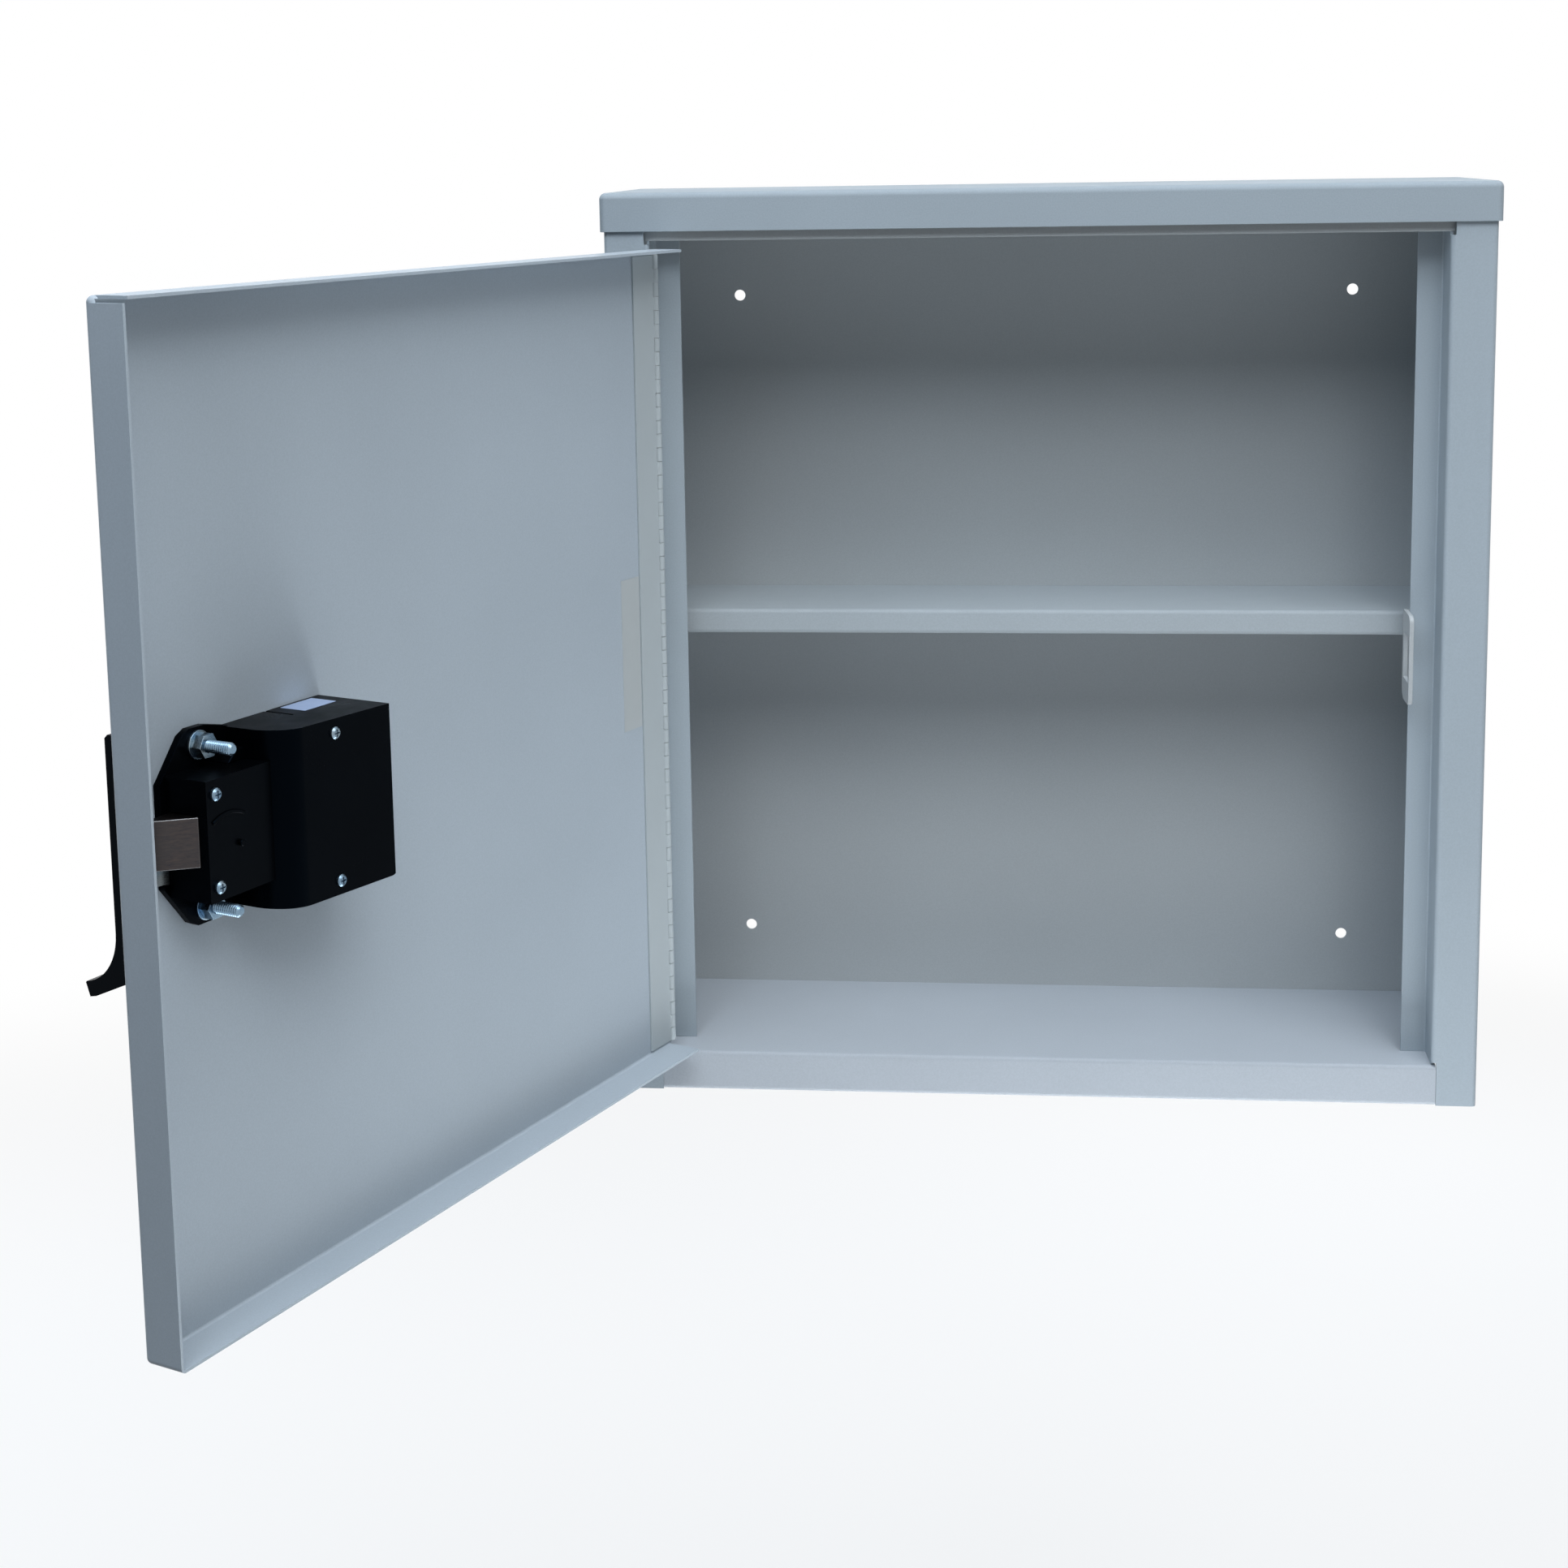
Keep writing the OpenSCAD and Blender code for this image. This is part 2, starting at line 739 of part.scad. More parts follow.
module lock_case() {
    nose_half = nose_h / 2;
    nose_lap = 6;
    skin = 0.6;
    guide_t = 2;
    guide_u = stud_u - 2 * guide_t;
    guide_half = nose_half - 1;
    bolt_half = bolt_h / 2 + bolt_gap;
    vent_side = 31.4;
    vent_u = case_u0 + vent_side;
    vent_w = 1.2;
    vent_v = 15;
    shank_gap = 0.05;
    head_gap = 0.3;
    color(black)
        on_door()
            difference() {
                union() {
                    difference() {
                        union() {
                            case_solid(0);
                            span([case_u1 - nose_lap, 0, lock_z - nose_half],
                                [nose_u, nose_d, lock_z + nose_half]);
                        }
                        case_solid(case_t);
                        span([case_u1 - nose_lap, 0, lock_z - nose_half + case_t],
                            [nose_u - case_t, nose_d - case_t, lock_z + nose_half - case_t]);
                    }
                    screw_boss(screw_u, case_screw_half, face_v - skin);
                    screw_boss(nose_screw_u, nose_screw_half, nose_d - skin);
                    span([guide_u, base_v, lock_z - guide_half],
                        [guide_u + guide_t, nose_d - guide_t / 2, lock_z + guide_half]);
                }
                case_corner(-1, case_low_r);
                case_corner(1, case_top_r);
                span([-far, -far, -far], [far, sheet_t, far]);
                span([case_u1 - case_t - slip, 0, -far], [far, base_v, far]);
                span([bolt_u0 - bolt_travel - over, bolt_v - bolt_gap, lock_z - bolt_half],
                    [nose_u + over, bolt_v + bolt_t + bolt_gap, lock_z + bolt_half]);
                screw_bore(screw_u, case_screw_half, screw_r + shank_gap, base_v + over);
                screw_bore(screw_u, case_screw_half, screw_head_r + head_gap, face_v - seat_depth);
                screw_bore(nose_screw_u, nose_screw_half, screw_r + shank_gap, base_v + over);
                span([vent_u, 0, lock_z + case_h / 2 - 1], [vent_u + vent_w, vent_v, far]);
            }
}

module lock_label() {
    top = lock_z + case_h / 2;
    inset = 7.3;
    u0 = case_u0 + inset;
    width = 18;
    v0 = 3;
    depth = 12;
    color([0.9, 0.92, 0.95])
        on_door()
            span([u0, v0, top], [u0 + width, v0 + depth, top + label_t]);
}

module cover_screw(head_v) {
    dome = 0.4 * screw_head_h;
    crown_r = 0.7 * screw_head_r;
    slot_half = 0.6 * screw_head_r;
    slot_w = 0.6;
    slot_z = 0.45 * screw_head_h;
    translate([0, head_v, 0]) {
        rotate([-90, 0, 0])
            difference() {
                union() {
                    cylinder(r = screw_head_r, h = screw_head_h - dome);
                    translate([0, 0, screw_head_h - dome])
                        cylinder(r1 = screw_head_r, r2 = crown_r, h = dome);
                }
                for (a = [0, 90])
                    rotate([0, 0, a])
                        translate([-slot_half, -slot_w / 2, slot_z])
                            cube([2 * slot_half, slot_w, screw_head_h]);
            }
        rotate([90, 0, 0])
            cylinder(r = screw_r, h = screw_len);
    }
}

module cover_screws() {
    color(zinc)
        on_door()
            for (s = [-1, 1]) {
                translate([screw_u, 0, lock_z + s * case_screw_half])
                    cover_screw(face_v - seat_depth);
                translate([nose_screw_u, 0, lock_z + s * nose_screw_half])
                    cover_screw(nose_d);
            }
}

module lock_cells() {
    cells = 3;
    cell_r = 5.25;
    cell_l = 43;
    cell_pitch = 11;
    tip_r = 1.9;
    tip_l = 1.3;
    rest_gap = 0.2;
    end_gap = 0.75;
    u0 = case_u0 + case_t + cell_r + end_gap;
    color([0.3, 0.45, 0.4])
        on_door()
            for (i = [0 : cells - 1])
                translate([u0 + i * cell_pitch, base_v + rest_gap + cell_r, lock_z - cell_l / 2]) {
                    cylinder(r = cell_r, h = cell_l);
                    translate([0, 0, cell_l])
                        cylinder(r = tip_r, h = tip_l);
                }
}

module lock_board() {
    rise = 13;
    inset = 0.5;
    v = base_v + rise;
    u0 = case_u0 + case_t + inset;
    width = 34.5;
    half = 22;
    color([0.1, 0.3, 0.18])
        on_door()
            span([u0, v, lock_z - half], [u0 + width, v + board_t, lock_z + half]);
}

module latch_bolt() {
    v1 = bolt_v + bolt_t;
    color(dark_metal)
        on_door()
            translate([0, 0, lock_z - bolt_h / 2])
                linear_extrude(bolt_h)
                    polygon([[bolt_u0, bolt_v], [bolt_tip, bolt_v], [bolt_tip, bolt_v + bolt_land],
                        [nose_u + bolt_land, v1], [bolt_u0, v1]]);
}

module plunger() {
    v1 = plunger_v + plunger_t;
    heel = nose_u - plunger_heel;
    tip = nose_u + plunger_tip;
    color(zinc)
        on_door()
            translate([0, 0, plunger_z - plunger_h / 2])
                linear_extrude(plunger_h)
                    polygon([[heel, plunger_v], [tip, plunger_v], [tip, plunger_v + bolt_land],
                        [nose_u + plunger_tip / 7, v1], [heel, v1]]);
}

module studs() {
    point = 0.8;
    color(zinc)
        on_door()
            for (s = [-1, 1]) {
                rod_y(stud_u, lock_z + s * stud_half, stud_r, -stud_sink, stud_len - point);
                translate([stud_u, stud_len - point, lock_z + s * stud_half])
                    rotate([-90, 0, 0])
                        cylinder(r1 = stud_r, r2 = stud_r - point, h = point);
            }
}

module nuts() {
    color(zinc)
        on_door()
            for (s = [-1, 1])
                translate([stud_u, base_v + washer_t, lock_z + s * stud_half])
                    rotate([-90, 0, 0])
                        difference() {
                            cylinder(r = nut_af / sqrt(3), h = nut_h, $fn = 6);
                            translate([0, 0, -over])
                                cylinder(r = stud_r, h = nut_h + 2 * over);
                        }
}

module washers() {
    color(zinc)
        on_door()
            for (s = [-1, 1])
                difference() {
                    rod_y(stud_u, lock_z + s * stud_half, washer_r, base_v, base_v + washer_t);
                    rod_y(stud_u, lock_z + s * stud_half, stud_r + slip, base_v - over,
                        base_v + washer_t + over);
                }
}

module gasket() {
    rim = 1;
    color([0.08, 0.08, 0.08])
        on_door()
            difference() {
                span([pull_u0 + rim, -gasket_t, pull_z0 + heel_z + rim],
                    [pull_u0 + pull_w - rim, 0, pull_z1 - rim]);
                door_holes(-2 * gasket_t, gasket_t, plate_gap);
            }
}

// side outline of the pull, as distance out of the door and height above its lowest point
function pull_outline() = concat(
    [[gasket_t, pull_h], [pull_d - pull_edge, pull_h], [pull_d, pull_h - pull_edge]],
    [for (a = [0 : arc_step : 90 - arc_step])
        [pull_d + flare_d * (1 - cos(a)), flare_z - flare_h * sin(a)]],
    [[grip_d, tip_z], [grip_d - tip_edge, 0], [grip_d - tip_edge - tip_flat, tip_lift],
        [gasket_t, heel_z]]);

module pull_housing() {
    floor_v = -housing_t - over;
    scoop_z = 6;
    bore_gap = 0.05;
    color(black)
        on_door()
            difference() {
                translate([pull_u0, 0, pull_z0])
                    rotate([90, 0, 90])
                        mirror([1, 0, 0])
                            linear_extrude(pull_w)
                                polygon(pull_outline());
                span([stud_u - pad_w / 2, -pull_d - over, pad_z0],
                    [stud_u + pad_w / 2, -pull_d + pad_t, pad_z0 + pad_h]);
                span([stud_u - pad_w / 2 + pad_rim, -pull_d, pad_z0 + pad_rim],
                    [stud_u + pad_w / 2 - pad_rim, floor_v, pad_z0 + pad_h - pad_rim]);
                rod_y(stud_u, lock_z, cable_r, floor_v - over, over);
                door_holes(-stud_sink, over, bore_gap);
                translate([pull_u0 + housing_t, -stud_sink - bolt_land, pull_z0 + scoop_z])
                    rotate([0, 90, 0])
                        cylinder(r = scoop_r, h = pull_w - 2 * housing_t);
                for (s = [-1, 1])
                    rod_y(stud_u + lamp_half * s, lamp_z, lamp_r, -far, -pull_d + lamp_t);
            }
}

function key_at(i) = [stud_u + (i % key_cols - (key_cols - 1) / 2) * key_pitch_u,
    key_mid_z + ((key_rows - 1) / 2 - floor(i / key_cols)) * key_pitch_z];

module keypad_plate() {
    color([0.12, 0.12, 0.13])
        on_door()
            difference() {
                span([stud_u - pad_w / 2 + slip, -pull_d, pad_z0 + slip],
                    [stud_u + pad_w / 2 - slip, -pull_d + pad_t, pad_z0 + pad_h - slip]);
                for (i = [0 : key_cols * key_rows - 1])
                    span([key_at(i)[0] - key_w / 2 - key_gap, -pull_d - over,
                            key_at(i)[1] - key_h / 2 - key_gap],
                        [key_at(i)[0] + key_w / 2 + key_gap, -pull_d + pad_t + over,
                            key_at(i)[1] + key_h / 2 + key_gap]);
            }
}

module key(i) {
    p = key_at(i);
    f = key_gap + key_flange;
    color([0.75, 0.77, 0.8])
        on_door() {
            span([p[0] - key_w / 2, -pull_d - key_rise, p[1] - key_h / 2],
                [p[0] + key_w / 2, key_back, p[1] + key_h / 2]);
            span([p[0] - key_w / 2 - f, key_back, p[1] - key_h / 2 - f],
                [p[0] + key_w / 2 + f, key_back + key_flange_t, p[1] + key_h / 2 + f]);
        }
}

module keypad_board() {
    stop_gap = 0.3;
    v = key_back + key_flange_t + key_travel + stop_gap;
    color([0.1, 0.3, 0.18])
        on_door()
            span([stud_u - pad_w / 2 + pad_rim, v, pad_z0 + pad_rim],
                [stud_u + pad_w / 2 - pad_rim, v + board_t, pad_z0 + pad_h - pad_rim]);
}

module lamp_window() {
    rim_gap = 0.05;
    color([0.5, 0.1, 0.1])
        on_door()
            for (s = [-1, 1])
                rod_y(stud_u + lamp_half * s, lamp_z, lamp_r - rim_gap, -pull_d, -pull_d + lamp_t);
}

side_left();
side_right();
back_panel();
bottom_panel();
top_panel();
cap();
shelf();
shelf_supports();
strike();
hinge_leaf_frame();
hinge_pin();
door_panel();
hinge_leaf_door();
door_label();
lock_base();
lock_case();
lock_label();
cover_screws();
lock_cells();
lock_board();
latch_bolt();
plunger();
studs();
nuts();
washers();
gasket();
pull_housing();
keypad_plate();
keypad_board();
lamp_window();
key(0);  // key_1
key(1);  // key_2
key(2);  // key_3
key(3);  // key_4
key(4);  // key_5
key(5);  // key_6
key(6);  // key_7
key(7);  // key_8
key(8);  // key_9
key(9);  // key_10
key(10);  // key_11
key(11);  // key_12
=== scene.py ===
import json
import math

import bmesh
import bpy
from mathutils import Matrix, Vector


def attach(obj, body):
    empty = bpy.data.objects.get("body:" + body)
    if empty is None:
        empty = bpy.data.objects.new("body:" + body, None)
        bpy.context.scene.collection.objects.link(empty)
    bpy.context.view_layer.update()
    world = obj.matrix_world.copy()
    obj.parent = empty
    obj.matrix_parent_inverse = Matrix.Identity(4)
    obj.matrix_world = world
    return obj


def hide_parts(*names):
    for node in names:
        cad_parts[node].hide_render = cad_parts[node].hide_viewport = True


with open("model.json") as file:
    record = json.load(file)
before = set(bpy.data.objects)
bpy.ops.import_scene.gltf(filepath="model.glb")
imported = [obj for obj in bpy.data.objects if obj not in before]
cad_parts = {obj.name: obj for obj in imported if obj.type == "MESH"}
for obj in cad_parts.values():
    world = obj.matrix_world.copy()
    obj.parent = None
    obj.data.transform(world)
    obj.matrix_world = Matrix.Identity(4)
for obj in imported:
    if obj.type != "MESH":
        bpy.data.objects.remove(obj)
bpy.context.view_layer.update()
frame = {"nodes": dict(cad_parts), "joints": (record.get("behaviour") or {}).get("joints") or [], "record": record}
nodes = frame["nodes"]

IMAGE = 1932
SENSOR = 36.0
MM = 0.001

# The door's own frame: u runs from its hinge edge to its free edge, v inward from its outer face,
# and z up from the cabinet's lower edge, all in millimetres.
hinge = next(j for j in frame["joints"] if j["name"] == "door_hinge")
OPEN = math.radians(-hinge["range_deg"][0])
PIN = Vector(hinge["pos_m"])
U = Vector((math.cos(OPEN), -math.sin(OPEN), 0))
V = Vector((math.sin(OPEN), math.cos(OPEN), 0))
Z = Vector((0, 0, 1))
PIN_EDGE = 2.4
SHEET = 1.2
WALL_Z = 214.8
DOOR_ORIGIN = PIN + (U * PIN_EDGE - V * SHEET - Z * WALL_Z) * MM
DOOR = (Matrix.Translation(DOOR_ORIGIN) @ Matrix((U, V, Z)).transposed().to_4x4()
        @ Matrix.Scale(MM, 4))

# Places on the door that pieces are made around.
LOCK_Z = 213.9
STUD_U = 319.3
STUD_HALF = 30.0
STUD_R = 2.4
STUD_TIP = 21.3
NOSE_V = 23.5
NOSE_HALF = 22.3
CASE_U1 = 304.5
PULL_V = -20.0
KEY_MID_Z = LOCK_Z - 0.4
KEY_PITCH_U = 10.8
KEY_PITCH_Z = 11.0
KEY_RISE = 1.4

# Rounding and smoothing of meshes.
WELD_M = 1e-6
FLAT_DEG = 0.5
CORNER_DEG = 40
SMOOTH_DEG = 38
THREAD_SMOOTH_DEG = 24

# Share of a plain dielectric's mirror reflection that the paint keeps.
PAINT_GLOSS = 0.15
CAP_GLOSS = 0.02
# Factor that darkens the cap's paint: painted shade for the cap's darker top.
CAP_PAINTED_SHADE = 0.95

# The floor in metres, and the light it gives off for the camera, so that it stays pale.
FLOOR_Z = -0.95
FLOOR_REACH = 9.0
FLOOR_NEAR = 1.3
FLOOR_FAR = 2.6
FLOOR_LIFT = 0.6


def make_camera():
    """The photograph's view, with a smaller lens shift so that other views stay whole."""
    focal_px, shift = 3041.9, -0.17
    yaw, pitch, roll = -0.1016, -0.1491, -0.0161
    place = Vector((-0.0049, -1.2459, 0.2392))
    forward = Vector((math.sin(yaw) * math.cos(pitch), math.cos(yaw) * math.cos(pitch),
                      math.sin(pitch)))
    right = Vector((math.cos(yaw), -math.sin(yaw), 0))
    up = right.cross(forward)
    across = right * math.cos(roll) + up * math.sin(roll)
    top = up * math.cos(roll) - right * math.sin(roll)
    camera = bpy.data.objects.new("camera", bpy.data.cameras.new("camera"))
    bpy.context.scene.collection.objects.link(camera)
    turn = Matrix((across, top, -forward)).transposed().to_4x4()
    camera.matrix_world = Matrix.Translation(place) @ turn
    camera.data.sensor_width = SENSOR
    camera.data.lens = focal_px / IMAGE * SENSOR
    camera.data.shift_y = shift
    camera.data.clip_start = 0.01
    bpy.context.scene.camera = camera


def add_node(tree, kind, **settings):
    node = tree.nodes.new(kind)
    for name, value in settings.items():
        setattr(node, name, value)
    return node


def join(tree, *pairs):
    for source, target in pairs:
        tree.links.new(source, target)


class Shader:
    """A node material with object coordinates, in metres, that stay with the moving body."""

    def __init__(self, name, **sockets):
        self.material = bpy.data.materials.new(name)
        self.material.use_nodes = True
        self.tree = self.material.node_tree
        self.bsdf = self.tree.nodes["Principled BSDF"]
        self.place = self.add("ShaderNodeTexCoord").outputs["Object"]
        for socket, value in sockets.items():
            self.bsdf.inputs[socket.replace("_", " ")].default_value = value

    def add(self, kind, **settings):
        return add_node(self.tree, kind, **settings)

    def link(self, source, target):
        join(self.tree, (source, target))

    def stretched(self, scale):
        """Object coordinates scaled along each axis."""
        node = self.add("ShaderNodeMapping")
        node.inputs["Scale"].default_value = scale
        self.link(self.place, node.inputs["Vector"])
        return node.outputs["Vector"]

    def noise(self, scale, detail=3.0, roughness=0.5, place=None):
        node = self.add("ShaderNodeTexNoise")
        node.inputs["Scale"].default_value = scale
        node.inputs["Detail"].default_value = detail
        node.inputs["Roughness"].default_value = roughness
        self.link(place or self.place, node.inputs["Vector"])
        return node.outputs["Fac"]

    def ramp(self, value, stops):
        """A colour or grey that follows value through (position, colour) stops."""
        node = self.add("ShaderNodeValToRGB")
        elements = node.color_ramp.elements
        for i, (position, colour) in enumerate(stops):
            element = elements[i] if i < 2 else elements.new(position)
            element.position = position
            shade = colour if isinstance(colour, tuple) else (colour,) * 3
            element.color = (*shade, 1)
        self.link(value, node.inputs["Fac"])
        return node.outputs["Color"]

    def mix(self, share, a, b, blend="MIX"):
        node = self.add("ShaderNodeMix", data_type="RGBA", blend_type=blend)
        if isinstance(share, float):
            node.inputs["Factor"].default_value = share
        else:
            self.link(share, node.inputs["Factor"])
        for socket, value in (("A", a), ("B", b)):
            target = next(s for s in node.inputs if s.name == socket and s.type == "RGBA")
            if isinstance(value, tuple):
                target.default_value = (*value, 1)
            else:
                self.link(value, target)
        return next(s for s in node.outputs if s.type == "RGBA")

    def bump(self, height, strength, distance):
        node = self.add("ShaderNodeBump")
        node.inputs["Strength"].default_value = strength
        node.inputs["Distance"].default_value = distance
        self.link(height, node.inputs["Height"])
        self.link(node.outputs["Normal"], self.bsdf.inputs["Normal"])

    def edges(self, radius, low, high):
        """Grey that is 1 on sharp edges and 0 on flat faces."""
        bevel = self.add("ShaderNodeBevel", samples=6)
        bevel.inputs["Radius"].default_value = radius
        geometry = self.add("ShaderNodeNewGeometry")
        dot = self.add("ShaderNodeVectorMath", operation="DOT_PRODUCT")
        self.link(bevel.outputs["Normal"], dot.inputs[0])
        self.link(geometry.outputs["Normal"], dot.inputs[1])
        return self.ramp(dot.outputs["Value"], [(low, 1.0), (high, 0.0)])

    def colour(self, source):
        self.link(source, self.bsdf.inputs["Base Color"])

    def roughness(self, source):
        self.link(source, self.bsdf.inputs["Roughness"])


def scaled(colour, factor):
    return tuple(min(1.0, c * factor) for c in colour)


def powder_coat(name, colour, gloss=PAINT_GLOSS):
    """Semi-gloss powder coat: faint clouding, fine speckle and orange peel."""
    s = Shader(name, Specular_IOR_Level=gloss)
    cloud = s.ramp(s.noise(7.0), [(0.3, scaled(colour, 0.965)), (0.7, scaled(colour, 1.03))])
    speckle = s.ramp(s.noise(1500.0, 2.0), [(0.35, 0.94), (0.65, 1.0)])
    s.colour(s.mix(1.0, cloud, speckle, "MULTIPLY"))
    s.roughness(s.ramp(s.noise(26.0), [(0.3, 0.36), (0.7, 0.46)]))
    s.bump(s.noise(620.0, 2.0, 0.45), 0.22, 0.00012)
    return s.material


def black_gloss(name):
    """Moulded black plastic with faint handling smudges."""
    # The bluish specular tint is painted light: it gives the reflections the colour of a bluish lamp.
    s = Shader(name, Specular_IOR_Level=0.035, Specular_Tint=(0.3, 0.6, 1.0, 1.0))
    s.colour(s.ramp(s.noise(40.0), [(0.3, (0.0003, 0.0004, 0.0006)),
                                    (0.7, (0.0006, 0.0009, 0.0014))]))
    smudge = s.noise(55.0, 4.0, 0.6, s.stretched((1.0, 1.0, 0.55)))
    s.roughness(s.ramp(smudge, [(0.35, 0.26), (0.7, 0.38)]))
    s.bump(s.noise(900.0, 2.0), 0.08, 0.00006)
    return s.material


def black_matte(name):
    """Fine-textured black plastic."""
    s = Shader(name)
    s.colour(s.ramp(s.noise(120.0), [(0.3, (0.011, 0.011, 0.012)),
                                     (0.7, (0.019, 0.019, 0.02))]))
    s.roughness(s.ramp(s.noise(300.0), [(0.3, 0.5), (0.7, 0.62)]))
    s.bump(s.noise(2200.0, 2.0), 0.3, 0.00008)
    return s.material


def zinc_plate(name, darker=1.0):
    """Bright zinc plate with a bluish passivation and light scratches."""
    s = Shader(name, Metallic=1.0)
    tint = s.ramp(s.noise(90.0), [(0.3, scaled((0.15, 0.25, 0.36), darker)),
                                  (0.5, scaled((0.23, 0.33, 0.42), darker)),
                                  (0.72, scaled((0.36, 0.41, 0.43), darker))])
    s.colour(tint)
    scratches = s.noise(700.0, 5.0, 0.7, s.stretched((1.0, 1.0, 6.0)))
    s.roughness(s.ramp(scratches, [(0.3, 0.2), (0.7, 0.42)]))
    s.bump(scratches, 0.12, 0.00005)
    return s.material


def latch_steel(name):
    """Dark brushed steel with bright worn edges."""
    s = Shader(name, Metallic=1.0)
    streaks = s.noise(260.0, 4.0, 0.65, s.stretched((1.0, 1.0, 5.0)))
    blotch = s.noise(110.0, 3.0, 0.55)
    dark = s.ramp(streaks, [(0.3, (0.03, 0.03, 0.036)), (0.7, (0.075, 0.06, 0.055))])
    body = s.mix(blotch, dark, (0.055, 0.052, 0.054))
    s.colour(s.mix(s.edges(0.0005, 0.9, 0.995), body, (0.5, 0.53, 0.56)))
    s.roughness(s.ramp(streaks, [(0.3, 0.26), (0.7, 0.4)]))
    s.bump(streaks, 0.15, 0.00005)
    return s.material


def drawn_steel(name):
    """Plain drawn steel, brushed along its length."""
    s = Shader(name, Metallic=1.0)
    lines = s.noise(900.0, 3.0, 0.6, s.stretched((1.0, 1.0, 0.05)))
    s.colour(s.ramp(lines, [(0.3, (0.42, 0.43, 0.44)), (0.7, (0.6, 0.61, 0.62))]))
    s.roughness(s.ramp(lines, [(0.3, 0.25), (0.7, 0.38)]))
    return s.material


def painted_hinge(name, colour):
    """Paint over the hinge, worn to steel along the rubbing edges."""
    s = Shader(name, Specular_IOR_Level=PAINT_GLOSS)
    cloud = s.ramp(s.noise(12.0), [(0.3, scaled(colour, 0.93)), (0.7, scaled(colour, 1.02))])
    patches = s.ramp(s.noise(420.0), [(0.5, 0.0), (0.62, 0.75)])
    worn = s.mix(1.0, s.edges(0.0003, 0.8, 0.99), patches, "MULTIPLY")
    s.colour(s.mix(worn, cloud, (0.2, 0.2, 0.2)))
    s.roughness(s.ramp(s.noise(26.0), [(0.3, 0.38), (0.7, 0.5)]))
    s.bump(s.noise(620.0, 2.0, 0.45), 0.22, 0.00012)
    return s.material


def foam(name):
    """Open-cell black foam."""
    s = Shader(name)
    s.colour(s.ramp(s.noise(800.0), [(0.3, (0.012, 0.012, 0.012)), (0.7, (0.026, 0.026, 0.026))]))
    s.roughness(s.ramp(s.noise(500.0), [(0.3, 0.8), (0.7, 0.95)]))
    s.bump(s.noise(1600.0, 2.0), 0.6, 0.0002)
    return s.material


def key_plastic(name):
    """Pale satin button plastic, a little greyer where it is touched."""
    s = Shader(name)
    s.colour(s.ramp(s.noise(160.0), [(0.3, (0.5, 0.52, 0.55)), (0.7, (0.58, 0.6, 0.63))]))
    s.roughness(s.ramp(s.noise(240.0), [(0.3, 0.38), (0.7, 0.5)]))
    s.bump(s.noise(1800.0, 2.0), 0.15, 0.00005)
    return s.material


def film(name, colour):
    """Blank label film with a faint ripple."""
    s = Shader(name)
    s.colour(s.ramp(s.noise(60.0), [(0.3, scaled(colour, 0.95)), (0.7, colour)]))
    s.roughness(s.ramp(s.noise(90.0), [(0.3, 0.28), (0.7, 0.4)]))
    s.bump(s.noise(220.0, 2.0), 0.12, 0.0001)
    return s.material


def lamp_red(name):
    """Clear-coated dark red window over the lamps."""
    s = Shader(name, Coat_Weight=0.6)
    s.colour(s.ramp(s.noise(900.0), [(0.3, (0.1, 0.006, 0.006)), (0.7, (0.2, 0.012, 0.01))]))
    s.roughness(s.ramp(s.noise(400.0), [(0.3, 0.1), (0.7, 0.2)]))
    return s.material


def cell_wrap(name):
    """Plain green cell wrap with faint clouding."""
    s = Shader(name)
    s.colour(s.ramp(s.noise(30.0), [(0.3, (0.06, 0.13, 0.11)), (0.7, (0.1, 0.18, 0.15))]))
    s.roughness(s.ramp(s.noise(200.0), [(0.3, 0.25), (0.7, 0.35)]))
    return s.material


def circuit_board(name):
    """Green solder mask with lighter tracks showing through."""
    s = Shader(name)
    tracks = s.add("ShaderNodeTexBrick")
    tracks.inputs["Scale"].default_value = 260.0
    tracks.inputs["Mortar Size"].default_value = 0.03
    tracks.inputs["Color1"].default_value = (0.008, 0.05, 0.024, 1)
    tracks.inputs["Color2"].default_value = (0.01, 0.06, 0.028, 1)
    tracks.inputs["Mortar"].default_value = (0.03, 0.13, 0.05, 1)
    s.link(s.place, tracks.inputs["Vector"])
    s.colour(tracks.outputs["Color"])
    s.roughness(s.ramp(s.noise(300.0), [(0.3, 0.3), (0.7, 0.42)]))
    return s.material


def number_ink(name):
    """Dark print for the numbers."""
    s = Shader(name)
    s.colour(s.ramp(s.noise(700.0), [(0.3, (0.012, 0.013, 0.016)),
                                     (0.7, (0.022, 0.023, 0.028))]))
    s.roughness(s.ramp(s.noise(500.0), [(0.3, 0.4), (0.7, 0.55)]))
    return s.material


# Paint and label colours. The cabinet has one paint; its shade differs a little from panel to panel
# as painted light and shade: bluer outside, warmer inside, darker on the sides, the cap and the shelf.
OUTER = (0.405, 0.465, 0.52)
INNER = (0.435, 0.465, 0.48)
HINGE = (0.42, 0.468, 0.49)
PANEL = (0.372, 0.43, 0.475)
FLOOR_PAN = (0.425, 0.465, 0.51)
SHELF = (0.39, 0.435, 0.465)
DOOR_LABEL = (0.43, 0.465, 0.475)
LOCK_LABEL = (0.3, 0.385, 0.57)

